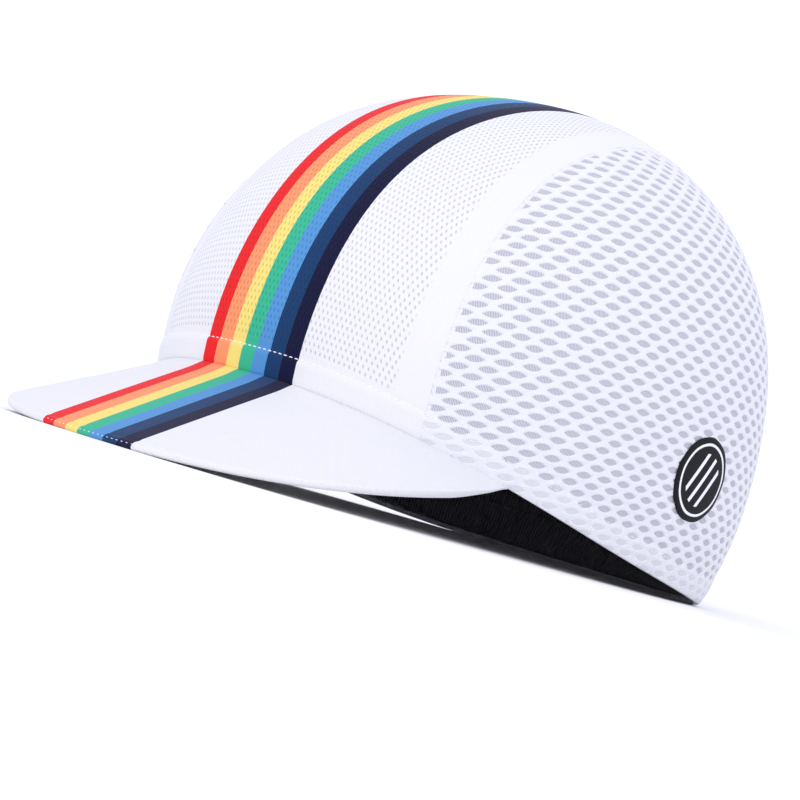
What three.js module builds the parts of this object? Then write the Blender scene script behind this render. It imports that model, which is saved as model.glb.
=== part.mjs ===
import * as THREE from 'three';

// Sizes are in millimetres. The cap is shaped with the back of its rim at height 0 and
// its peak towards -Y, then tipped to stand on the rim's back and the peak's front edge.

const CROWN_RADIUS = 96.6; // front to back, mean distance from the crown's middle
const CROWN_HALF_WIDTH = 88.2; // side to side, at its widest
const SHOULDER = 2.37; // exponent of the cross-section, 2 being an ellipse
const MIDDLE_HEIGHT = 40; // of the crown's middle above the rim's back
const RIM_FRONT_RISE = 32.4; // of the rim's front above its back
const RIM_ARCH = 1.4; // of the rim between its two ends

const CLOTH = 1.2; // one layer, as worn
const HEM_HEIGHT = 7; // turned-up edge all round the rim
const HEM_EXTRA = 0.6; // by which it stands out
const HEM_EASE = 1.5; // over which that dies away above it
const GAP = 0.3; // between pieces that are sewn together

const SEAM_TOP = 43; // half the centre panel's width on top of the crown
const SEAM_TAPER = 16.4; // added at the front and taken away at the back

const PEAK_LENGTH = 54.6; // from the rim to the front edge, seen from above
const PEAK_ANGLE = 55.9; // degrees round the rim, from the middle to a corner
const PEAK_SPREAD = 0.72; // share by which it fans out sideways
const PEAK_SLOPE = 0.549; // fall for each mm forward, in the middle
const PEAK_SIDE_LIFT = 0.14; // by which that is less at the corners
const PEAK_THICKNESS = 2.6;
const PEAK_ROOT = 1.7; // tucked under the crown's edge

const BAND_HEIGHT = 25;
const BAND_THICKNESS = 1.5;
const BAND_LIFT = 1; // of its lower edge above the rim

const BADGE_RADIUS = 13.5;
const BADGE_THICKNESS = 0.7;
const BADGE_ANGLE = 103; // degrees round the crown from the front
const BADGE_HEIGHT = 33; // of its middle above the rim

const FLATTENED = 0.7; // depth pressed flat where the cap stands

// Front-to-back profile: waves in the radius, as shares of CROWN_RADIUS, with the
// angle counted from straight ahead, up over the top and down behind.
const PROFILE = [
  { waves: 1, cos: -0.0355, sin: 0.0604 },
  { waves: 2, cos: 0.0164, sin: 0.0074 },
  { waves: 3, cos: 0.0174, sin: -0.0141 },
  { waves: 4, cos: -0.014, sin: 0.0003 },
];

// Outline of the peak: depth falls to nothing at the corners.
const PEAK_OUTLINE = { inner: 2.84, outer: 1.03 };

// Sweatband in section: share of its height, share of its thickness.
const BAND_SECTION = [
  { up: 0, thick: 0.55 },
  { up: 0.05, thick: 0.95 },
  { up: 0.25, thick: 1 },
  { up: 0.45, thick: 0.9 },
  { up: 0.5, thick: 0.5 },
  { up: 0.55, thick: 0.9 },
  { up: 0.78, thick: 1 },
  { up: 0.95, thick: 0.95 },
  { up: 1, thick: 0.55 },
];

const rad = THREE.MathUtils.degToRad;
const V = (x, y, z) => new THREE.Vector3(x, y, z);
const middle = V(0, 0, MIDDLE_HEIGHT);

function profileRadius(a) {
  let r = 1;
  for (const w of PROFILE) r += w.cos * Math.cos(w.waves * a) + w.sin * Math.sin(w.waves * a);
  return r * CROWN_RADIUS;
}

// 1 on the crown's surface, less inside; d is counted from the crown's middle.
function crownLevel(d) {
  const r = Math.hypot(d.y, d.z) / profileRadius(Math.atan2(d.z, -d.y));
  return ((Math.abs(d.x) / CROWN_HALF_WIDTH) ** SHOULDER + r ** SHOULDER) ** (1 / SHOULDER);
}

const onCrown = (d) => d.clone().multiplyScalar(1 / crownLevel(d)).add(middle);

function crownNormal(p) {
  const d = p.clone().sub(middle);
  const n = V(0, 0, 0);
  for (const k of ['x', 'y', 'z']) {
    const a = d.clone();
    const b = d.clone();
    a[k] += 0.05;
    b[k] -= 0.05;
    n[k] = crownLevel(a) - crownLevel(b);
  }
  return n.normalize();
}

function rimHeight(y) {
  const t = THREE.MathUtils.clamp(y / (1.967 * CROWN_RADIUS) + 0.526, 0, 1);
  return RIM_FRONT_RISE * (1 - t) ** 2 + RIM_ARCH * 4 * t * (1 - t);
}

// Root of a rising function between two values.
function solve(f, low, high) {
  let a = low;
  let b = high;
  for (let i = 0; i < 44; i += 1) {
    const m = (a + b) / 2;
    if (f(m) < 0) a = m;
    else b = m;
  }
  return (a + b) / 2;
}

const above = (p) => p.z - rimHeight(p.y);

// Point of the crown at a plan angle from the front and a height above the rim.
function crownAt(angle, height) {
  const at = (e) => onCrown(V(
    Math.sin(angle) * Math.cos(e), -Math.cos(angle) * Math.cos(e), Math.sin(e)));
  return at(solve((e) => above(at(e)) - height, rad(-88), rad(88)));
}

// Half width of the centre panel at a profile angle.
const seamX = (a) => SEAM_TOP + SEAM_TAPER * Math.cos(a);

function slicePoint(x, a) {
  const k = (1 - (Math.abs(x) / CROWN_HALF_WIDTH) ** SHOULDER) ** (1 / SHOULDER);
  const r = k * profileRadius(a);
  return V(x, -r * Math.cos(a), MIDDLE_HEIGHT + r * Math.sin(a));
}

// Point across and along the strip between the two seams: across counts from -1 to 1
// between them plus a margin in mm, along from 0 on the front rim to 1 on the back.
function stripPoint(across, along, margin) {
  const at = (a) => slicePoint(across * (seamX(a) + margin), a);
  const front = solve((a) => above(at(a)), rad(-75), rad(80));
  const back = rad(180) - solve((b) => above(at(rad(180) - b)), rad(-75), rad(80));
  return at(front + (back - front) * along);
}

// Extra thickness of the turned-up hem, easing out above it.
function hemExtra(p) {
  const t = THREE.MathUtils.clamp((above(p) - HEM_HEIGHT) / HEM_EASE, 0, 1);
  return HEM_EXTRA * (1 - t * t * (3 - 2 * t));
}

// The rim's lower edge is cut level, so the way through the cloth is level there.
const clothPair = (p) => {
  const n = crownNormal(p);
  n.setZ(n.z * THREE.MathUtils.clamp(above(p) / HEM_HEIGHT, 0, 1)).normalize();
  return [
    p.clone().addScaledVector(n, hemExtra(p)),
    p.clone().addScaledVector(n, -CLOTH),
  ];
};

// Steps from 0 to 1 with close rows at the hems at both ends.
function hemSteps(count, length) {
  const h = HEM_HEIGHT / length;
  const s = [0, h * 0.5, h, h + HEM_EASE / length];
  const mid = [];
  for (let i = 1; i < count; i += 1) mid.push(s[3] + (1 - 2 * s[3]) * i / count);
  return [...s, ...mid, ...s.map((v) => 1 - v).reverse()];
}

// Closed solid between two faces, given as rows of [outer, inner] pairs.
function solid(rows, ring = false) {
  const pos = [];
  const n = rows.length;
  const m = rows[0].length;
  const key = new Map();
  const index = [];
  const id = (p) => {
    const k = p.toArray().map((v) => Math.round(v * 1e5)).join(' ');
    if (!key.has(k)) {
      key.set(k, pos.length / 3);
      pos.push(p.x, p.y, p.z);
    }
    return key.get(k);
  };
  const tri = (a, b, c) => {
    const t = [id(a), id(b), id(c)];
    if (new Set(t).size === 3) index.push(...t);
  };
  const quad = (a, b, c, d) => {
    tri(a, b, c);
    tri(a, c, d);
  };
  const cols = ring ? m : m - 1;
  for (let i = 0; i < n - 1; i += 1) {
    for (let j = 0; j < cols; j += 1) {
      const [a, b, c, d] = [
        rows[i][j], rows[i][(j + 1) % m], rows[i + 1][(j + 1) % m], rows[i + 1][j]];
      quad(a[0], b[0], c[0], d[0]);
      quad(d[1], c[1], b[1], a[1]);
    }
    if (!ring) {
      const [a, d] = [rows[i][0], rows[i + 1][0]];
      const [b, c] = [rows[i][m - 1], rows[i + 1][m - 1]];
      quad(a[1], a[0], d[0], d[1]);
      quad(b[0], b[1], c[1], c[0]);
    }
  }
  for (let j = 0; j < cols; j += 1) {
    const [a, b] = [rows[0][j], rows[0][(j + 1) % m]];
    const [d, c] = [rows[n - 1][j], rows[n - 1][(j + 1) % m]];
    quad(a[1], b[1], b[0], a[0]);
    quad(d[0], c[0], c[1], d[1]);
  }
  // Facing outwards means a volume above zero.
  let volume = 0;
  const at = (i) => V(pos[3 * i], pos[3 * i + 1], pos[3 * i + 2]);
  for (let i = 0; i < index.length; i += 3) {
    volume += at(index[i]).dot(at(index[i + 1]).cross(at(index[i + 2])));
  }
  if (volume < 0) index.reverse();
  const g = new THREE.BufferGeometry();
  g.setAttribute('position', new THREE.Float32BufferAttribute(pos, 3));
  g.setIndex(index);
  return g;
}

const grid = (us, vs, f) => us.map((u) => vs.map((v) => f(u, v)));
const steps = (count, low = 0, high = 1) =>
  Array.from({ length: count + 1 }, (_, i) => low + (high - low) * i / count);

function centrePanel() {
  const along = hemSteps(26, 3.4 * CROWN_RADIUS);
  return solid(grid(along, steps(18, -1, 1),
    (v, u) => clothPair(stripPoint(u, v, -GAP / 2))));
}

// Between the seam and the rim, along straight lines drawn out to the crown's surface.
function sidePanel(side) {
  const front = stripPoint(1, 0, GAP / 2);
  const back = stripPoint(1, 1, GAP / 2);
  const angle = (p) => Math.atan2(p.x, -p.y);
  const [a, b] = [angle(front), angle(back)];
  const rows = steps(30).map((v) => {
    const seam = stripPoint(1, v, GAP / 2).sub(middle);
    const rim = crownAt(a + (b - a) * v, 0).sub(middle);
    const span = Math.max(seam.distanceTo(rim), CROWN_RADIUS / 3);
    const h = HEM_HEIGHT / span;
    const across = [...steps(12).map((t) => t * (1 - h - HEM_EASE / span)), 1 - h, 1 - h / 2, 1];
    return across.map((t) => clothPair(onCrown(seam.clone().lerp(rim, t))));
  });
  for (const row of rows) for (const pair of row) for (const p of pair) p.x *= side;
  return solid(rows);
}

function peakPoint(v, forward) {
  const a = rad(PEAK_ANGLE) * v;
  const root = crownAt(a, 0);
  root.z -= 2 * GAP;
  const x = PEAK_SPREAD * Math.sin(a);
  const dir = V(x, -Math.sqrt(1 - x * x), 0);
  const slope = PEAK_SLOPE - PEAK_SIDE_LIFT * v * v;
  const p = root.addScaledVector(dir, forward);
  const out = Math.max(forward, 0);
  p.z -= slope * out;
  return p;
}

function peak() {
  const depth = (v) => PEAK_LENGTH * (1 - Math.abs(v) ** PEAK_OUTLINE.inner) ** PEAK_OUTLINE.outer;
  const lip = PEAK_THICKNESS * 0.6;
  const rows = steps(44, -1, 1).map((t) => {
    const v = Math.sin(t * rad(90)) * 0.6 + t * 0.4;
    const end = Math.max(depth(v), GAP);
    const us = [-PEAK_ROOT, 0, ...steps(7).slice(1).map((s) => s * (end - 2 * lip * end / PEAK_LENGTH))];
    for (const e of [1, 0.45, 0.12, 0]) us.push(end - e * lip * end / PEAK_LENGTH);
    return us.map((u) => {
      const p = peakPoint(v, u);
      const du = peakPoint(v, u + 0.1).sub(peakPoint(v, u - 0.1));
      const dv = peakPoint(Math.min(v + 0.01, 1), u).sub(peakPoint(Math.max(v - 0.01, -1), u));
      const n = dv.cross(du).normalize();
      if (n.z < 0) n.negate();
      const e = THREE.MathUtils.clamp((end - u) / (lip * end / PEAK_LENGTH), 0, 1);
      const half = PEAK_THICKNESS / 2 * Math.max(Math.sqrt(1 - (1 - e) ** 2), 0.25);
      const mid = p.clone().addScaledVector(n, -PEAK_THICKNESS / 2);
      return [mid.clone().addScaledVector(n, half), mid.clone().addScaledVector(n, -half)];
    });
  });
  return solid(rows);
}

function sweatband() {
  const round = steps(72, -180, 180).slice(0, -1).map(rad);
  return solid(grid(BAND_SECTION, round, (s, a) => {
    const p = crownAt(a, BAND_LIFT + s.up * BAND_HEIGHT);
    const n = crownNormal(p);
    const out = CLOTH + 1.6 * GAP;
    return [
      p.clone().addScaledVector(n, -out),
      p.clone().addScaledVector(n, -out - s.thick * BAND_THICKNESS),
    ];
  }), true);
}

function badge() {
  const c = crownAt(rad(BADGE_ANGLE), BADGE_HEIGHT);
  const n = crownNormal(c);
  const up = V(0, 0, 1).addScaledVector(n, -n.z).normalize();
  const right = up.clone().cross(n);
  const s = steps(12, -1, 1);
  return solid(grid(s, s, (a, b) => {
    const x = a * Math.sqrt(1 - b * b / 2) * BADGE_RADIUS;
    const y = b * Math.sqrt(1 - a * a / 2) * BADGE_RADIUS;
    const p = onCrown(c.clone().addScaledVector(right, x).addScaledVector(up, y).sub(middle));
    const m = crownNormal(p);
    return [
      p.clone().addScaledVector(m, GAP + BADGE_THICKNESS),
      p.clone().addScaledVector(m, GAP),
    ];
  }));
}

// Tip by which the rim's back and the peak's front edge are level.
function restAngle() {
  const back = crownAt(rad(180), 0);
  const tip = peakPoint(0, PEAK_LENGTH);
  return Math.atan2(back.z - (tip.z - PEAK_THICKNESS * 0.75), back.y - tip.y);
}

const cloth = (color, roughness) =>
  new THREE.MeshStandardMaterial({ color, roughness, metalness: 0 });

const pieces = {
  centre_panel: [centrePanel, cloth(0xf1f2f6, 0.85)],
  left_side_panel: [() => sidePanel(1), cloth(0xe9ebf0, 0.9)],
  right_side_panel: [() => sidePanel(-1), cloth(0xe9ebf0, 0.9)],
  peak: [peak, cloth(0xf1f2f6, 0.8)],
  sweatband: [sweatband, cloth(0x17171b, 0.9)],
  badge: [badge, cloth(0x1c1c20, 0.6)],
};

const cap = new THREE.Group();
cap.name = 'cycling_cap';
const box = new THREE.Box3();
for (const [name, [make, material]] of Object.entries(pieces)) {
  const g = make().applyMatrix4(new THREE.Matrix4().makeRotationX(-restAngle()));
  const mesh = new THREE.Mesh(g, material);
  mesh.name = name;
  cap.add(mesh);
  box.expandByObject(mesh);
}
const centre = box.getCenter(V(0, 0, 0));
for (const mesh of cap.children) {
  mesh.geometry.translate(-centre.x, -centre.y, -box.min.z - FLATTENED);
  const p = mesh.geometry.attributes.position;
  for (let i = 0; i < p.count; i += 1) p.setZ(i, Math.max(p.getZ(i), 0));
  mesh.geometry.computeVertexNormals();
}

export default cap;
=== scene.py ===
"""Cycling cap, dressed for rendering. Lengths below are in millimetres, in the level cap
frame: the back of the rim at height 0, the peak towards -Y. row() tips them to the rest
pose and turns them into metres."""

import math

import bpy
import numpy as np
from mathutils import Matrix, Vector


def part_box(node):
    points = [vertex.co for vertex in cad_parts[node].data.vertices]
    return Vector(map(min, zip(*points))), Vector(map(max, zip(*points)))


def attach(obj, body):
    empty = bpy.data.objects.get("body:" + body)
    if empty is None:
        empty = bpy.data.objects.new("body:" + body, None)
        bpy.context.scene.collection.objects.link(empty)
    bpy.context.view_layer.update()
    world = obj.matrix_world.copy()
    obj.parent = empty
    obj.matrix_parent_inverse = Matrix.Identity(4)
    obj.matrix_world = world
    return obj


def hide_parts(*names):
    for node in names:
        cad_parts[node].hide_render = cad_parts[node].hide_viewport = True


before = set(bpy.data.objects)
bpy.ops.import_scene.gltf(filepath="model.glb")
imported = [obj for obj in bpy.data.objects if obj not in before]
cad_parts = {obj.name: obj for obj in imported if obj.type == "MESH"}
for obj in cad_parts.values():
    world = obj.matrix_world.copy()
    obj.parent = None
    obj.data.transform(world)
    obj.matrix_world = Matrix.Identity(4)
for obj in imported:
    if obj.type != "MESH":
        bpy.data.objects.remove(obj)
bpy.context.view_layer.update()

# Crown: mean radius of its profile from front to back, half width, roundness of its
# shoulders, and height of the middle point that its directions are counted from.
CROWN_RADIUS, HALF_WIDTH, SHOULDER, MIDDLE = 96.6, 88.2, 2.37, 40.0
CENTRE = np.array([0.0, 0.0, MIDDLE])
# Waves of the profile: times round, then the cosine's and the sine's share of the radius.
PROFILE = ((1, -0.0355, 0.0604), (2, 0.0164, 0.0074), (3, 0.0174, -0.0141), (4, -0.014, 0.0003))
# Rim: rise at the front, arch half way, length, and the share of it in front of the middle.
FRONT_RISE, ARCH, RIM_LENGTH, RIM_START = 32.4, 1.4, 1.967 * CROWN_RADIUS, 0.526
# Cloth: thickness, then the hem's height, extra thickness and the ease above it, and the
# roll of its lower edge: how far in, over what height.
CLOTH, HEM, HEM_EXTRA, HEM_EASE, EDGE_ROLL, EDGE_HIGH = 1.2, 7.0, 0.6, 1.6, 0.25, 1.2
# Seams between the strip and the sides: distance from the middle at the top, and taper.
# Past the seam line the mesh starts, the strip dips and the strip ends.
SEAM_TOP, SEAM_TAPER, MESH_EDGE, DIP_EDGE, STRIP_EDGE = 43.0, 16.4, 0.15, 0.55, 1.35
SEAM_ZONE = 8.6  # width of the plain knit beside a seam
FRONT_STITCH, SIDE_STITCH = 7.6, 6.8  # heights of the hem's stitches above the rim
STRIPES = 20.1  # half the width of the seven stripes
# Peak: length, half angle round the rim, fanning of its lines, slope, how much less at its
# sides, thickness, root inside the rim, place under the rim, and how far and over what
# length its root is pressed up into the hem.
PEAK_LENGTH, PEAK_ANGLE, PEAK_SPREAD = 54.6, math.radians(55.9), 0.72
PEAK_SLOPE, SIDE_LIFT, PEAK_THICK, ROOT = 0.549, 0.14, 2.6, 1.7
PEAK_UNDER, TUCK, TUCK_LENGTH = 0.08, 0.45, 6
PEAK_ROUND, PEAK_CORNER = 2.84, 1.03  # powers of its outline, along the front and at its corners
LIP_UNDER = 0.25 + PEAK_THICK * 0.75  # the lip's lowest point under the top of the tip
BAND_HEIGHT, BAND_THICK, BAND_LIFT, BAND_CLEAR = 25.0, 1.5, 1.0, 0.45
BADGE_RADIUS, BADGE_ANGLE, BADGE_HEIGHT = 13.5, math.radians(103), 33.0


# Shapes

def unit(v):
    """Vectors divided by their lengths."""
    return v / np.linalg.norm(v, axis=-1, keepdims=True)


def smooth(low, high, x):
    """Runs from 0 to 1 between low and high as 3 t^2 - 2 t^3."""
    t = np.clip((x - low) / (high - low), 0, 1)
    return t * t * (3 - 2 * t)


def bell(x, at, width):
    """1 at one place, falling off on both sides as e to the minus square of the distance."""
    return np.exp(-(((x - at) / width) ** 2))


def profile_radius(a):
    """Radius of the front-to-back profile: a mean radius with four waves round the angle."""
    r = 1.0
    for k, c, s in PROFILE:
        r = r + c * np.cos(k * a) + s * np.sin(k * a)
    return r * CROWN_RADIUS


def level(d):
    """1 on the crown: a superellipse between sideways distance over the half width and
    profile distance over the profile's radius at that angle."""
    r = np.hypot(d[..., 1], d[..., 2]) / profile_radius(np.arctan2(d[..., 2], -d[..., 1]))
    return ((np.abs(d[..., 0]) / HALF_WIDTH) ** SHOULDER + r**SHOULDER) ** (1 / SHOULDER)


def on_crown(d):
    """Point of the crown in a direction from its middle: the direction over its level."""
    return d / level(d)[..., None] + CENTRE


def normal(p):
    """Outward normal: the gradient of level by central differences."""
    d = p - CENTRE
    e = np.eye(3) * 0.05
    return unit(np.stack([level(d + e[k]) - level(d - e[k]) for k in range(3)], -1))


def rim_height(y):
    """Height of the rim: a parabola rising to the front with a slight arch."""
    t = np.clip(y / RIM_LENGTH + RIM_START, 0, 1)
    return FRONT_RISE * (1 - t) ** 2 + ARCH * 4 * t * (1 - t)


def above(p):
    """Height above the rim."""
    return p[..., 2] - rim_height(p[..., 1])


def solve(f, low, high):
    """Root of a rising function for whole arrays, by halving the interval."""
    for _ in range(40):
        m = (low + high) / 2
        neg = f(m) < 0
        low, high = np.where(neg, m, low), np.where(neg, high, m)
    return (low + high) / 2


def crown_at(angle, height):
    """Point of the crown at a plan angle from the front and a height above the rim."""
    angle, height = np.broadcast_arrays(np.asarray(angle, float), np.asarray(height, float))

    def at(e):
        return on_crown(np.stack(
            [np.sin(angle) * np.cos(e), -np.cos(angle) * np.cos(e), np.sin(e)], -1))

    lim = np.full(angle.shape, math.radians(88))
    return at(solve(lambda e: above(at(e)) - height, -lim, lim))


def seam_x(a):
    """Sideways distance of a seam: wider at the front, by the cosine of the profile angle."""
    return SEAM_TOP + SEAM_TAPER * np.cos(a)


def slice_point(x, a):
    """Point at sideways distance x and profile angle a: the profile scaled down for x."""
    k = (1 - (np.abs(x) / HALF_WIDTH) ** SHOULDER) ** (1 / SHOULDER)
    r = k * profile_radius(a)
    return np.stack([x, -r * np.cos(a), MIDDLE + r * np.sin(a)], -1)


def strip_point(across, along, margin):
    """Point between two lines a margin past the seams, and its profile angle: across from
    -1 to 1, along from the front rim to the back."""
    across, along = np.broadcast_arrays(np.asarray(across, float), np.asarray(along, float))

    def at(a):
        return slice_point(across * (seam_x(a) + margin), a)

    low, high = np.full(across.shape, math.radians(-75)), np.full(across.shape, math.radians(80))
    front = solve(lambda a: above(at(a)), low, high)
    back = math.pi - solve(lambda a: above(at(math.pi - a)), low, high)
    a = front + (back - front) * along
    return at(a), a


def peak_depth(v):
    """Length of the peak along a line: its outline is a superellipse from corner to corner."""
    return PEAK_LENGTH * (1 - np.abs(v) ** PEAK_ROUND) ** PEAK_CORNER


def peak_point(v, forward):
    """Top of the peak: out from the rim along fanned lines, falling by a slope that eases
    towards the corners. Its first few millimetres are pressed up into the rim's hem."""
    v, forward = np.broadcast_arrays(np.asarray(v, float), np.asarray(forward, float))
    a = PEAK_ANGLE * v
    p = crown_at(a, 0)
    out = np.maximum(forward, 0)
    x = PEAK_SPREAD * np.sin(a)
    fall = (PEAK_SLOPE - SIDE_LIFT * v * v) * out + PEAK_UNDER
    fall = fall - TUCK * (1 - smooth(0, TUCK_LENGTH, out))
    return p + np.stack([x * forward, -np.sqrt(1 - x * x) * forward, -fall], -1)


def tip_angle():
    """Tip about X that levels the rim's back with the peak's front edge."""
    back, tip = crown_at(math.pi, 0), peak_point(0, PEAK_LENGTH)
    return math.atan2(back[2] - (tip[2] - LIP_UNDER), back[1] - tip[1])


TIP = tip_angle()


def tipped(p):
    """Points turned about X by the tip."""
    c, s = math.cos(TIP), math.sin(TIP)
    return np.stack([p[..., 0], p[..., 1] * c + p[..., 2] * s, p[..., 2] * c - p[..., 1] * s], -1)


def shift():
    """Place of the level frame's origin, from the box of the CAD centre panel: its middle
    sideways, and its back and top, which the profile's back and top are moved to."""
    a = np.linspace(math.radians(60), math.radians(200), 2801)
    q = tipped(slice_point(np.zeros_like(a), a))
    lo, hi = (np.array(c) * 1000 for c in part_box("centre_panel"))
    return np.array([(lo[0] + hi[0]) / 2, hi[1] - q[:, 1].max(), hi[2] - q[:, 2].max()])


SHIFT = shift()


def row(p):
    """Level millimetres to the row frame in metres, pressed flat on the floor."""
    q = tipped(p) + SHIFT
    q[..., 2] = np.maximum(q[..., 2], 0.0)
    return q / 1000


def dents(p):
    """Slack in the cloth: two long soft waves, under a millimetre deep, fading at the rim."""
    w = np.sin(p[..., 0] / 31 + 0.7) * np.sin(p[..., 2] / 23 + p[..., 1] / 38 + 0.4)
    w = w + 0.6 * np.sin(p[..., 1] / 17 + p[..., 0] / 24) * np.cos(p[..., 2] / 19)
    return 0.38 * w * smooth(8, 34, above(p))


def hem_rise(h):
    """How far the hem stands out at a height above the rim: its extra thickness, easing off
    above it, less the roll of its lower edge."""
    thick = HEM_EXTRA * (1 - smooth(HEM, HEM + HEM_EASE, h))
    return thick - EDGE_ROLL * (1 - smooth(0, EDGE_HIGH, h))


def hem_normal(n, h):
    """Normals that turn level from the hem's top down to the rim, so that its wall is even."""
    n = n.copy()
    n[..., 2] *= np.clip(h / HEM, 0, 1)
    return unit(n)


# Meshes

def add(name, verts, quads, uv=None, attrs=None, mats=(), index=None, node=None,
        crisp=None):
    """Object from vertices in the level frame and faces of 3 or 4 corners each, with
    degenerate corners dropped and the faces turned outwards. Crisp faces are shaded flat."""
    v = row(np.asarray(verts, float))
    q = np.asarray(quads)
    tri = q[:, 3] < 0
    same = [(q[:, i] == q[:, (i + 1) % 4]) & ~tri for i in range(4)]
    size = np.where(tri, 3, 4)
    for i in range(4):  # a quad with two equal corners is a triangle
        bad = same[i]
        if bad.any():
            r = np.roll(q[bad], -(i + 1), axis=1)
            r[:, 3] = -1
            q = q.copy()
            q[bad] = r
            size[bad] = 3
    ok = (q[:, 0] != q[:, 1]) & (q[:, 1] != q[:, 2]) & (q[:, 2] != q[:, 0])
    q, size = q[ok], size[ok]
    loops = q.ravel()[(np.arange(4)[None, :] < size[:, None]).ravel()]
    starts = np.concatenate([[0], np.cumsum(size)[:-1]])
    me = bpy.data.meshes.new(name)
    me.vertices.add(len(v))
    me.vertices.foreach_set("co", v.astype(np.float32).ravel())
    me.loops.add(len(loops))
    me.loops.foreach_set("vertex_index", loops.astype(np.int32))
    me.polygons.add(len(size))
    me.polygons.foreach_set("loop_start", starts.astype(np.int32))
    me.polygons.foreach_set("loop_total", size.astype(np.int32))
    me.polygons.foreach_set("use_smooth", np.ones(len(q), bool) if crisp is None else ~crisp[ok])
    for m in mats:
        me.materials.append(m)
    if index is not None:
        me.polygons.foreach_set("material_index", np.asarray(index)[ok].astype(np.int32))
    if uv is not None:
        layer = me.uv_layers.new(name="cloth")
        layer.data.foreach_set("uv", np.asarray(uv, np.float32)[loops].ravel())
    for key, values in (attrs or {}).items():
        at = me.attributes.new(key, "FLOAT", "POINT")
        at.data.foreach_set("value", np.asarray(values, np.float32))
    me.update(calc_edges=True)
    me.validate()
    tris = np.concatenate([q[:, :3], q[size == 4][:, [0, 2, 3]]])
    volume = np.einsum("ij,ij->i", v[tris[:, 0]], np.cross(v[tris[:, 1]], v[tris[:, 2]])).sum()
    if volume < 0:
        me.flip_normals()
    ob = bpy.data.objects.new(name, me)
    bpy.context.scene.collection.objects.link(ob)
    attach(ob, "root")
    if node:
        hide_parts(node)
    return ob


def grid_faces(n, m, wrap=False):
    """Quads between neighbours of an n by m grid, closed across its m columns if wrapped."""
    i, j = np.meshgrid(np.arange(n - 1), np.arange(m if wrap else m - 1), indexing="ij")
    k = (j + 1) % m
    return np.stack([i * m + j, i * m + k, (i + 1) * m + k, (i + 1) * m + j], -1).reshape(-1, 4)


def edge_walls(e, gap):
    """Walls between the edges that only one face has and the same edges gap vertices on."""
    base = int(e.max()) + 1
    e = e[~np.isin(e[:, 0] * base + e[:, 1], e[:, 1] * base + e[:, 0])]
    return np.stack([e[:, 1], e[:, 0], e[:, 0] + gap, e[:, 1] + gap], -1)


def slab(outer, inner, wrap=False):
    """Vertices and faces of the closed solid between two grids of points, the outer first."""
    n, m = outer.shape[:2]
    top = grid_faces(n, m, wrap)
    edges = np.concatenate([np.stack([top[:, a], top[:, (a + 1) % 4]], -1) for a in range(4)])
    verts = np.concatenate([outer.reshape(-1, 3), inner.reshape(-1, 3)])
    return verts, np.concatenate([top, top[:, ::-1] + n * m, edge_walls(edges, n * m)])


def arc_length(path):
    """Distance run along a path of points."""
    return np.concatenate([[0], np.cumsum(np.linalg.norm(np.diff(path, axis=0), axis=-1))])


# Finishes

def lin(*shown):
    """Linear colour of a shown one from 0 to 255: a 12.92th if dark, else a power of 2.4."""
    return (*(c / 255 / 12.92 if c <= 10 else ((c / 255 + 0.055) / 1.055) ** 2.4
              for c in shown), 1.0)


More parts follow.
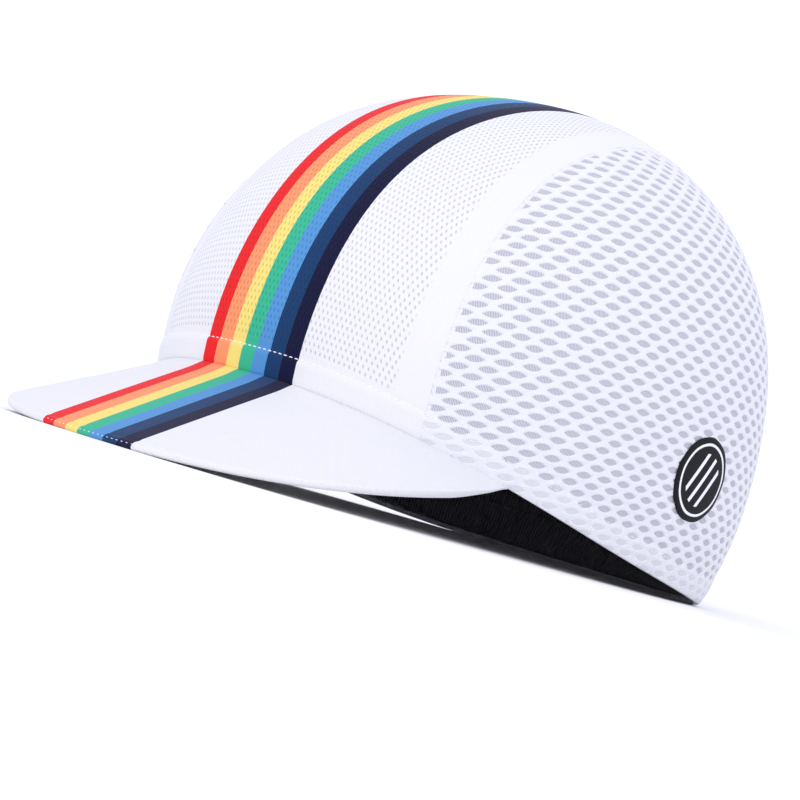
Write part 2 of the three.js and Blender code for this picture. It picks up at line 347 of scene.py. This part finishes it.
class Finish:
    """One material, with short names for building it."""

    def __init__(self, name, rough=0.85, sheen=0.0):
        self.mat = bpy.data.materials.new(name)
        self.mat.use_nodes = True
        self.t = self.mat.node_tree
        self.b = self.t.nodes["Principled BSDF"]
        self.b.inputs["Roughness"].default_value = rough
        self.b.inputs["Sheen Weight"].default_value = sheen
        self.b.inputs["Specular IOR Level"].default_value = 0.16

    def node(self, kind, **props):
        n = self.t.nodes.new(kind)
        for k, v in props.items():
            setattr(n, k, v)
        return n

    def set(self, socket, value):
        if isinstance(value, bpy.types.NodeSocket):
            self.t.links.new(value, socket)
        else:
            socket.default_value = value

    def colour(self, value):
        self.set(self.b.inputs["Base Color"], value)

    def m(self, op, *args):
        n = self.node("ShaderNodeMath", operation=op)
        for s, v in zip(n.inputs, args):
            self.set(s, v)
        return n.outputs[0]

    def attr(self, name):
        return self.node("ShaderNodeAttribute", attribute_name=name).outputs["Fac"]

    def uv(self):
        u = self.node("ShaderNodeUVMap", uv_map="cloth")
        s = self.node("ShaderNodeSeparateXYZ")
        self.t.links.new(u.outputs[0], s.inputs[0])
        return s.outputs[0], s.outputs[1]

    def step(self, low, high, x):
        n = self.node("ShaderNodeMapRange", interpolation_type="SMOOTHSTEP")
        for s, v in zip(n.inputs[:3], (x, low, high)):
            self.set(s, v)
        return n.outputs[0]

    def mix(self, fac, a, b, kind="MIX"):
        n = self.node("ShaderNodeMix", data_type="RGBA", blend_type=kind)
        for s, v in zip((n.inputs[0], n.inputs[6], n.inputs[7]), (fac, a, b)):
            self.set(s, v)
        return n.outputs[2]

    def bump(self, height, distance, strength):
        n = self.node("ShaderNodeBump")
        n.inputs["Strength"].default_value = strength
        n.inputs["Distance"].default_value = distance
        self.set(n.inputs["Height"], height)
        self.t.links.new(n.outputs[0], self.b.inputs["Normal"])

    def wave(self, x, period):
        return self.m("SINE", self.m("MULTIPLY", x, 2 * math.pi / period))

    def distance(self, x, y):
        """Square root of the sum of two squares."""
        return self.m("SQRT", self.m("ADD", self.m("MULTIPLY", x, x), self.m("MULTIPLY", y, y)))

    def dashes(self, u, v, pitch, half):
        """1 in the middle of each dash of a staggered pattern, 0 between them: one less a
        smooth step of the distance from the dash's middle in half dashes."""
        (pu, pv), (ru, rv) = pitch, half
        line = self.m("DIVIDE", v, pv)
        odd = self.m("MULTIPLY", self.m("FLOORED_MODULO", self.m("FLOOR", line), 2.0), 0.5)
        cu = self.m("SUBTRACT", self.m("FRACT", self.m("ADD", self.m("DIVIDE", u, pu), odd)), 0.5)
        cv = self.m("SUBTRACT", self.m("FRACT", line), 0.5)
        r = self.distance(self.m("MULTIPLY", cu, pu / ru), self.m("MULTIPLY", cv, pv / rv))
        return self.m("SUBTRACT", 1.0, self.step(0.55, 1.3, r))


WHITE = lin(225, 225, 228)
STRIPE_COLOURS = (
    lin(226, 24, 28), lin(240, 146, 100), lin(236, 214, 118), lin(52, 176, 138),
    lin(80, 142, 200), lin(12, 54, 98), lin(6, 8, 50),
)


def stripes(n):
    """Seven equal stripes between plus and minus STRIPES, white outside: steps of a ramp
    over the distance sideways, which fill eight tenths of it."""
    ramp = n.node("ShaderNodeValToRGB")
    ramp.color_ramp.interpolation = "CONSTANT"
    e = ramp.color_ramp.elements
    while len(e) > 1:
        e.remove(e[-1])
    e[0].position, e[0].color = 0.0, WHITE
    for i, c in enumerate(STRIPE_COLOURS + (WHITE,)):
        e.new(0.1 + 0.8 * i / 7).color = c
    along = n.m("DIVIDE", n.attr("side"), 2 * STRIPES / 0.8)
    n.set(ramp.inputs[0], n.m("ADD", along, 0.5))
    return ramp.outputs[0]


def knit(name, printed):
    """White pinhole knit: short slanting dashes in staggered lines, none on hems and seams,
    where fine upright ribs show instead. The dashes are pinholes, darkened as painted shade
    inside the holes. The face is printed with stripes, the inside not."""
    n = Finish(name, 0.82, 0.06)
    u, v = n.uv()
    lean = n.m("ADD", u, n.m("MULTIPLY", v, 0.16))
    hole = n.m("MULTIPLY", n.dashes(lean, v, (1.7, 2.1), (0.26, 0.62)), n.attr("open"))
    rib = n.m("MULTIPLY", n.wave(u, 0.85), 0.16)
    base = stripes(n) if printed else WHITE
    # painted shade in the pinholes: the cloth's colour darkened, mixed in on the dashes
    dark = n.mix(1.0, base, (0.58, 0.58, 0.64, 1.0), "MULTIPLY")
    n.colour(n.mix(n.m("MULTIPLY", hole, 0.7), base, dark))
    n.bump(n.m("SUBTRACT", rib, hole), 0.00018, 0.7)
    return n.mat


def peak_cloth():
    """White cloth with stripes and fine lines across it."""
    n = Finish("peak_cloth", 0.78, 0.06)
    u, v = n.uv()
    line = n.wave(v, 0.62)
    fine = n.m("MULTIPLY", n.wave(u, 0.45), 0.35)
    shade = n.m("MULTIPLY", n.m("ADD", line, 1.0), 0.018)
    n.colour(n.mix(shade, stripes(n), (0.3, 0.32, 0.4, 1.0)))
    n.bump(n.m("ADD", line, fine), 0.00006, 0.7)
    return n.mat


def mesh_cloth():
    """White knit between the eyelets."""
    n = Finish("mesh_cloth", 0.85, 0.06)
    u, v = n.uv()
    n.colour(lin(228, 228, 234))
    n.bump(n.m("ADD", n.wave(u, 0.7), n.wave(v, 0.55)), 0.00005, 0.6)
    return n.mat


def eyelet_threads_and_shade():
    """Fine grey threads that cross the bottom of each eyelet, with a grey between them that is
    painted shade of the cap's inside seen through the eyelet; paler in the double hem.
    """
    n = Finish("eyelet_threads_and_shade", 0.9)
    u, _ = n.uv()
    t = n.m("MULTIPLY", n.m("ADD", n.wave(u, 0.44), 1.0), 0.5)
    light = n.mix(n.attr("hem"), lin(216, 216, 223), lin(222, 222, 227))
    # painted shade: the grey between the threads, for the cap's inside seen through the eyelet;
    # paler in the double hem
    dark = n.mix(n.attr("hem"), lin(150, 150, 163), lin(204, 204, 211))
    n.colour(n.mix(t, dark, light))
    n.bump(t, 0.00006, 0.6)
    return n.mat


def elastic():
    """Black elastic, coloured grey as painted light for the shaded inside of the cap: close
    upright ribs with a slight twill, lighter on their crests and darker between them as painted
    shade.
    """
    n = Finish("elastic", 0.9, 0.3)
    u, v = n.uv()
    twill = n.wave(n.m("ADD", v, n.m("MULTIPLY", u, 0.5)), 0.7)
    h = n.m("ADD", n.wave(u, 1.1), n.m("MULTIPLY", twill, 0.6))
    # painted shade: lighter on the crests of the ribs and twill, darker between them
    light = n.m("MULTIPLY", n.m("ADD", h, 1.6), 0.31)
    # painted light: greys much paler than black elastic, for the shaded inside of the cap
    n.colour(n.mix(light, lin(70, 70, 76), lin(128, 127, 134)))
    n.bump(h, 0.00014, 0.8)
    return n.mat


def badge_print():
    """Black print with a pale ring and three slanted bars, from distances in millimetres."""
    ring_radius, ring_half = 11.2, 0.42
    bar_pitch, bar_share, bars_reach, bars_half = 4.4, 0.16, 8.4, 6.2
    n = Finish("badge_print", 0.62)
    u, v = n.uv()
    r = n.distance(u, v)
    ring = n.m("LESS_THAN", n.m("ABSOLUTE", n.m("SUBTRACT", r, ring_radius)), ring_half)
    slant = n.m("ADD", n.m("MULTIPLY", u, 0.87), n.m("MULTIPLY", v, -0.5))
    turn = n.m("FRACT", n.m("ADD", n.m("DIVIDE", slant, bar_pitch), 0.5))
    bars = n.m("LESS_THAN", n.m("ABSOLUTE", n.m("SUBTRACT", turn, 0.5)), bar_share)
    near = n.m("MULTIPLY", n.m("LESS_THAN", r, bars_reach),
               n.m("LESS_THAN", n.m("ABSOLUTE", slant), bars_half))
    mark = n.m("MAXIMUM", ring, n.m("MULTIPLY", bars, near))
    n.colour(n.mix(mark, lin(20, 20, 24), lin(236, 237, 242)))
    n.bump(n.m("ADD", n.wave(u, 0.7), n.wave(v, 0.6)), 0.00004, 0.6)
    return n.mat


def plain(name, colour, rough):
    """One colour all over."""
    n = Finish(name, rough)
    n.colour(colour)
    return n.mat


MAT = {
    "knit": knit("knit", True), "inside": knit("knit_inside", False), "peak": peak_cloth(),
    "mesh": mesh_cloth(), "threads": eyelet_threads_and_shade(), "elastic": elastic(),
    "badge": badge_print(), "stitch": plain("thread", lin(240, 240, 242), 0.6),
}


# Pieces

def centre_panel():
    """Strip of knit between the seams. The face stands out at the turned-up hem, dips under
    the front stitches and beside the plain zones, and goes down under the mesh's edge."""
    ends = np.linspace(0, 0.06, 30)
    v = np.concatenate([ends[:-1], np.linspace(0.06, 0.94, 190), 1 - ends[-2::-1]])
    u = np.sin(np.linspace(-1, 1, 101) * 1.15) / math.sin(1.15)  # closer towards the edges
    p, a = strip_point(u[None, :], v[:, None], STRIP_EDGE)
    h, edge = above(p), seam_x(a) + DIP_EDGE - np.abs(p[..., 0])
    out = hem_rise(h) + dents(p)
    out = out - 0.4 * bell(h, FRONT_STITCH, 0.6) - 0.16 * bell(edge, SEAM_ZONE, 0.5)
    out = out + 0.2 * smooth(0, 0.9, edge) - 0.15 - 0.2 * smooth(0, 0.5, -edge)
    n = hem_normal(normal(p), h)
    along = arc_length(p[:, len(u) // 2])
    uv = np.stack([p[..., 0], np.broadcast_to(along[:, None], h.shape)], -1).reshape(-1, 2)
    pinholes = smooth(8.6, 10.5, h) * smooth(8.8, 9.6, edge)
    verts, faces = slab(p + n * out[..., None], p - n * CLOTH)
    printed = (v.size - 1) * (u.size - 1)  # the faces outside come first
    return add("centre_panel_cloth", verts, faces, np.tile(uv, (2, 1)),
               {"side": np.tile(p[..., 0].ravel(), 2), "open": np.tile(pinholes.ravel(), 2)},
               [MAT["knit"], MAT["inside"]], np.arange(len(faces)) >= printed,
               node="centre_panel")


# Side panels are worked out in a chart round the panel's middle, along and up, whose radius
# is the crown's mean one there.
CHART_RADIUS = 88
ROUND_BACK, ROUND_UP = math.radians(96), math.radians(12)
OUT = unit(np.array([math.sin(ROUND_BACK), -math.cos(ROUND_BACK), math.tan(ROUND_UP)]))
ALONG = unit(np.cross(np.array([0, 0, 1.0]), OUT))
UP = np.cross(OUT, ALONG)


def chart(s, t):
    """Point of the crown at s along and t up: equal distances and bearings from the middle."""
    r = np.hypot(s, t) + 1e-9
    q = np.cos(r / CHART_RADIUS)[..., None] * OUT
    q = q + (np.sin(r / CHART_RADIUS) / r)[..., None] * (s[..., None] * ALONG + t[..., None] * UP)
    return on_crown(q)


def uncharted(p):
    """The chart's s and t of a point, by the same formula read backwards."""
    d = unit(p - CENTRE)
    r = np.arccos(np.clip(d @ OUT, -1, 1))
    return (CHART_RADIUS * r / np.sin(r))[..., None] * np.stack([d @ ALONG, d @ UP], -1)


def on_side(p):
    """True above the rim and past the seam with the centre panel."""
    d = p - CENTRE
    seam = seam_x(np.arctan2(d[..., 2], -d[..., 1])) + MESH_EDGE
    return (above(p) > 0) & (p[..., 0] > seam)


def side_outline():
    """Outline of the panel in the chart, every quarter millimetre: up the seam and over
    from front to back, then back along the rim."""
    seam, _ = strip_point(1.0, np.linspace(0, 1, 1300), MESH_EDGE)
    ends = np.arctan2(seam[[-1, 0], 0], -seam[[-1, 0], 1])
    rim = crown_at(np.linspace(ends[0], ends[1], 900), 0)
    return uncharted(np.concatenate([seam, rim]))


# Eyelets: brick length and height, the lens's half length and half height, and points round.
BRICK, COURSE, LENS, LENS_HIGH, ROUND = 8.0, 2.8, 2.9, 1.14, 14
# Rings of a pocket: shares of the lens's half length and half height, and depth.
POCKET = ((1.07, 1.05, -0.03), (1.0, 0.97, 0.14), (0.94, 0.88, 0.27))
POCKET_DEPTH = 0.29


def brick_points():
    """Points of one brick about its middle: a ring on its edge, the pocket's rings, each two
    parabolas that meet at the lens's tips, and the middle."""
    k = np.arange(ROUND // 2)
    bottom = np.stack([-BRICK / 2 + BRICK * k / 6, np.full(len(k), -COURSE / 2)], -1)
    x = -np.cos(math.pi * (k + 0.5) / len(k))
    lens = np.concatenate([np.stack([x, x**2 - 1], -1), np.stack([-x, 1 - x**2], -1)])
    rings = [lens * [LENS * f, LENS_HIGH * g] for f, g, _ in POCKET]
    return np.concatenate([bottom, -bottom, *rings, np.zeros((1, 2))])


def nearest(points, line):
    """For each point, the nearest one of a line's points."""
    return line[np.concatenate([((q[:, None] - line[None]) ** 2).sum(-1).argmin(1)
                                for q in np.array_split(points, 40)])]


def eyelet_mesh():
    """Mesh cloth of a side panel: bricks in staggered courses, each with a lens-shaped
    pocket, its lip rolled in, and threads across its bottom over a grey of painted shade.
    What lies past the outline is moved to the outline's nearest point, so eyelets there are
    cut."""
    i, j = np.meshgrid(np.arange(-15, 16), np.arange(-30, 45), indexing="ij")
    middle = np.stack([((i + 0.5 * (j % 2)) * BRICK).ravel(), (j * COURSE).ravel()], -1)
    c = middle[:, None] + brick_points()[None]
    ok = on_side(chart(c[..., 0], c[..., 1]))
    keep = ok[:, :ROUND].any(1)
    c, ok = c[keep], ok[keep]
    c[~ok] = nearest(c[~ok], side_outline())
    eyelet = ok[:, -1]  # no pocket where its middle is cut off
    p = chart(c[..., 0], c[..., 1])
    h = above(p)
    hem = 1 - smooth(6.4, 7.6, h[:, -1:])
    depth = np.repeat([0.0, *(d for _, _, d in POCKET), POCKET_DEPTH], [ROUND] * 4 + [1])
    depth = depth[None, :] * eyelet[:, None] * (1 - 0.5 * hem)
    rise = hem_rise(h) + dents(p) - 0.3 * bell(h, SIDE_STITCH, 0.6)
    n = hem_normal(normal(p), h)
    face = p + n * (rise - depth)[..., None]
    back = p - n * CLOTH
    m, total = h.shape[0], h.size
    # Neighbours share the points of their edges.
    idx = np.arange(total).reshape(m, -1)
    key = np.round(c[:, :ROUND] * 500).astype(np.int64).reshape(-1, 2)
    _, first, again = np.unique(key, axis=0, return_index=True, return_inverse=True)
    idx[:, :ROUND] = idx[:, :ROUND].ravel()[first][again.ravel()].reshape(m, ROUND)
    r = np.arange(ROUND)
    q = (r + 1) % ROUND

    def between(a, b):
        """Quads between two rings of each brick."""
        return np.stack([idx[:, a * ROUND + r], idx[:, a * ROUND + q],
                         idx[:, b * ROUND + q], idx[:, b * ROUND + r]], -1).reshape(-1, 4)

    def fan(a):
        """Triangles from a ring to the middle."""
        tip = np.broadcast_to(idx[:, -1:], (m, ROUND))
        none = np.full((m, ROUND), -1)
        corners = [idx[:, a * ROUND + r], idx[:, a * ROUND + q], tip, none]
        return np.stack(corners, -1).reshape(-1, 4)

    # The inside of each brick is one band and one fan, so that it is nearly plain.
    lining = fan(2)[:, [1, 0, 2, 3]]
    edges = np.stack([idx[:, r].ravel(), idx[:, q].ravel()], -1)
    edges = edges[edges[:, 0] != edges[:, 1]]
    parts = [between(0, 1), between(1, 2), between(2, 3), fan(3), between(0, 2)[:, ::-1] + total,
             np.where(lining < 0, -1, lining + total), edge_walls(edges, total)]
    zero = [np.zeros(len(f)) for f in parts]
    # faces that get the threads over painted shade: each eyelet's bottom and the fan behind it
    # inside
    threads = np.repeat(eyelet, ROUND).astype(float)
    return dict(verts=np.concatenate([face.reshape(-1, 3), back.reshape(-1, 3)]),
                faces=np.concatenate(parts),
                index=np.concatenate(zero[:3] + [threads, zero[4], threads, zero[6]]),
                crisp=np.concatenate([z + (k in (1, 2, 3, 6)) for k, z in enumerate(zero)]) > 0,
                uv=np.tile(c.reshape(-1, 2), (2, 1)),
                hem=np.tile(np.broadcast_to(hem, h.shape).ravel(), 2))


def side_panel(eyelets, word, side):
    """The eyelet mesh on the wearer's left, or its mirror image on the right."""
    return add(word + "_side_mesh", eyelets["verts"] * [side, 1, 1], eyelets["faces"],
               eyelets["uv"], {"hem": eyelets["hem"]}, [MAT["mesh"], MAT["threads"]],
               eyelets["index"], node=word + "_side_panel",
               crisp=eyelets["crisp"])


def peak():
    """Two faces of cloth over a stiffener: a sheet normal to the lines along and across it,
    its half thickness falling to a rounded lip at the front as a quarter ellipse, and
    thinning towards the two corners. A shallow groove runs behind the lip."""
    t = np.linspace(-1, 1, 241)
    v = np.sin(t * math.pi / 2) * 0.6 + t * 0.4
    end = np.maximum(peak_depth(v), 0.4)
    lip = PEAK_THICK * 0.62 * end / PEAK_LENGTH
    cols = [np.full_like(v, -ROOT), np.zeros_like(v)]
    cols += [s * (end - lip) for s in np.linspace(0, 1, 48)[1:]]
    cols += [end - e * lip for e in (0.8, 0.6, 0.42, 0.27, 0.15, 0.07, 0.02, 0.0)]
    u = np.stack(cols, 1)
    v = np.broadcast_to(v[:, None], u.shape)
    p = peak_point(v, u)
    du = peak_point(v, np.maximum(u, 0.2) + 0.1) - peak_point(v, np.maximum(u, 0.2) - 0.1)
    dv = peak_point(np.minimum(v + 0.01, 1), u) - peak_point(np.maximum(v - 0.01, -1), u)
    n = unit(np.cross(du, dv))
    n = n * np.sign(n[..., 2:])
    inset = end[:, None] - u
    e = np.clip(inset / lip[:, None], 0, 1)
    full = PEAK_THICK / 2 * (0.3 + 0.7 * smooth(0, 0.14, 1 - np.abs(v)))
    half = full * np.maximum(np.sqrt(1 - (1 - e) ** 2), 0.12)
    half = half - 0.16 * bell(inset, 2.6, 0.45) * (end[:, None] > 8)
    mid = p - n * full[..., None]
    verts, faces = slab(mid + n * half[..., None], mid - n * half[..., None])
    return add("peak_cover", verts, faces, np.tile(p[..., :2].reshape(-1, 2), (2, 1)),
               {"side": np.tile(p[..., 0].ravel(), 2)}, [MAT["peak"]],
               node="peak")


def sweatband():
    """Ring of elastic inside the rim: rounded at both edges, with a crease half way up."""
    a = np.linspace(-math.pi, math.pi, 361)[:-1]
    h = np.array([0, .02, .05, .1, .18, .26, .34, .4, .44, .47, .49, .5,
                  .51, .53, .56, .6, .66, .74, .82, .9, .95, .98, 1])
    p = crown_at(a[None, :], BAND_LIFT + h[:, None] * BAND_HEIGHT)
    n = normal(p)
    thick = 0.5 + 0.5 * np.minimum(1, np.sqrt(np.clip(np.minimum(h, 1 - h) / 0.06, 0, 1)))
    thick = BAND_THICK * (thick - 0.55 * bell(h, 0.5, 0.022))
    face = p - n * (CLOTH + BAND_CLEAR)
    verts, faces = slab(face, face - n * thick[:, None, None], True)
    u, v = np.broadcast_arrays(arc_length(p[0])[None, :], h[:, None] * BAND_HEIGHT)
    uv = np.tile(np.stack([u, v], -1).reshape(-1, 2), (2, 1))
    return add("sweatband_elastic", verts, faces, uv, None, [MAT["elastic"]],
               node="sweatband")


def badge():
    """Thin round print that follows the crown, its edge rolled down: a square grid drawn to
    a disc by the root of one less half the other side's square."""
    c = crown_at(BADGE_ANGLE, BADGE_HEIGHT)
    n = normal(c)
    up = unit(np.array([0, 0, 1.0]) - n * n[2])
    right = np.cross(up, n)
    k = np.linspace(-1, 1, 61)
    a, b = np.meshgrid(k, k, indexing="ij")
    x = a * np.sqrt(1 - b * b / 2) * BADGE_RADIUS
    y = b * np.sqrt(1 - a * a / 2) * BADGE_RADIUS
    r = np.hypot(x, y) / BADGE_RADIUS
    uneven = (1 + 0.006 * np.sin(9 * np.arctan2(y, x)) * r**4)[..., None]
    p = on_crown(c + x[..., None] * uneven * right + y[..., None] * uneven * up - CENTRE)
    n, low = normal(p), dents(p) + 0.1
    high = low + 0.2 + 0.45 * np.sqrt(np.clip(1 - r**14, 0, 1))
    verts, faces = slab(p + n * high[..., None], p + n * low[..., None])
    uv = np.tile(np.stack([x, y], -1).reshape(-1, 2), (2, 1))
    return add("badge_disc", verts, faces, uv, None, [MAT["badge"]],
               node="badge")


def stitches(name, path, up, length, gap, radius, slot):
    """A row of stitches: along the path at equal steps, each a rounded rod half sunk, whose
    ring's radius is the root of one less a power of the distance from its middle."""
    d = arc_length(path)
    c = np.arange(gap, d[-1] - length, length + gap) + length / 2

    def at(q, values):
        return np.stack([np.interp(q, d, values[:, k]) for k in range(3)], -1)

    n = unit(at(c, up))
    t = unit(at(c + 0.4, path) - at(c - 0.4, path))
    b = np.cross(n, t)
    rings, sides = 7, 8
    lat = np.linspace(-1, 1, rings)  # the first and the last are the poles
    lon = np.linspace(0, 2 * math.pi, sides + 1)[:-1]
    ring = radius * np.sqrt(np.clip(1 - np.abs(lat) ** 2.6, 0.0, 1))
    x, y, z = np.broadcast_arrays(lat[:, None] * length / 2, ring[:, None] * np.cos(lon),
                                  ring[:, None] * np.sin(lon))
    v = at(c, path)[:, None, None] + sum(
        k[None, ..., None] * axis[:, None, None] for k, axis in ((x, t), (y, b), (z, n)))
    f = grid_faces(rings, sides, True)
    last = (rings - 1) * sides
    f = np.where(f < sides, 0, np.where(f >= last, last, f))
    faces = (f[None] + (np.arange(len(c)) * rings * sides)[:, None, None]).reshape(-1, 4)
    return add(name, v.reshape(-1, 3), faces, mats=[MAT["stitch"]])


def lip_path(v, inset):
    """Points and normals of a line along the peak's front edge, set in from it."""
    at = peak_depth(v) - inset
    p = peak_point(v, at)
    n = unit(np.cross(p - peak_point(v, at - 0.2), peak_point(v + 0.004, at) - p))
    n = n * np.sign(n[..., 2:])
    return p - n * 0.3, n


def hem_path(a, height, lift):
    """Points and normals of a line round the rim at one height, lifted off the crown."""
    p = crown_at(a, height)
    n = normal(p)
    return p + n * lift, n


knit_strip = centre_panel()
eyelets = eyelet_mesh()
sides = {"left": side_panel(eyelets, "left", 1), "right": side_panel(eyelets, "right", -1)}
peak()
elastic_band = sweatband()
badge()
front = stitches("front_topstitch", *hem_path(np.linspace(-0.72, 0.72, 400), FRONT_STITCH, 0.12),
                 1.5, 0.7, 0.2, "knit")
stitches("peak_lip_stitch", *lip_path(np.linspace(-0.95, 0.95, 700), 0.5),
         0.8, 1.2, 0.11, "peak_cloth")
for side, word in ((1, "left"), (-1, "right")):
    stitches(
        word + "_hem_stitch", *hem_path(side * np.linspace(0.8, 2.72, 500), SIDE_STITCH, 0.3),
        1.7, 0.9, 0.13, "mesh_" + word)

# Camera: the photo's side of the cap, its tilt of the picture, and 1 m away.
AZ, EL, ROLL = math.radians(43), math.radians(1.0), math.radians(16.2)
FRAME, SENSOR = 800, 36  # the picture's width in pixels, the camera's in millimetres
PIXELS, MIDDLE_X, MIDDLE_Y = 3.11, 423.0, 527.4  # a millimetre, and the level origin's place
toward = np.array([math.sin(AZ) * math.cos(EL), -math.cos(AZ) * math.cos(EL), math.sin(EL)])
level_right = np.array([math.cos(AZ), math.sin(AZ), 0])
level_up = np.cross(toward, level_right)
right = level_right * math.cos(ROLL) + level_up * math.sin(ROLL)
upward = -level_right * math.sin(ROLL) + level_up * math.cos(ROLL)
spot = SHIFT / 1000 + toward
cam = bpy.data.cameras.new("camera")
cam.sensor_width = SENSOR
cam.lens = SENSOR * 1000 * PIXELS / FRAME
cam.shift_x = (FRAME / 2 - MIDDLE_X) / FRAME
cam.shift_y = (MIDDLE_Y - FRAME / 2) / FRAME
cam_ob = bpy.data.objects.new("camera", cam)
bpy.context.scene.collection.objects.link(cam_ob)
cam_ob.matrix_world = Matrix(
    [[right[k], upward[k], toward[k], spot[k]] for k in range(3)] + [[0, 0, 0, 1]])
bpy.context.scene.camera = cam_ob


def floor():
    """Pale round floor, wide enough to meet the pale world at its edge."""
    reach, corners = 60, 96
    t = np.linspace(0, 2 * math.pi, corners + 1)[:-1]
    me = bpy.data.meshes.new("floor")
    ring = np.stack([reach * np.cos(t), reach * np.sin(t), 0 * t], -1)
    me.from_pydata(ring.tolist(), [], [list(range(corners))])
    me.materials.append(plain("floor", (0.89, 0.89, 0.89, 1.0), 1.0))
    ob = bpy.data.objects.new("floor", me)
    bpy.context.scene.collection.objects.link(ob)


def lamp(name, place, size, watts, colour=(1, 1, 1)):
    """Round soft light, in metres, turned to the middle of the cap."""
    d = bpy.data.lights.new(name, "AREA")
    d.shape, d.size, d.energy, d.color = "DISK", size, watts, colour
    o = bpy.data.objects.new(name, d)
    o.location = place
    middle = Vector((0, 0, 0.07))
    o.rotation_euler = (Vector(place) - middle).to_track_quat("Z", "Y").to_euler()
    bpy.context.scene.collection.objects.link(o)


floor()
world = bpy.data.worlds.new("world")
bpy.context.scene.world = world
world.use_nodes = True
sky = world.node_tree.nodes["Background"]
sky.inputs[0].default_value = (1.0, 1.01, 1.12, 1.0)
sky.inputs[1].default_value = 1.12
lamp("key", (0.9, -1.7, 0.8), 1.2, 7.5, (1.0, 0.98, 0.92))
lamp("top", (0.1, 0.1, 2.0), 1.0, 0.6)
bpy.context.scene.view_settings.view_transform = "Standard"
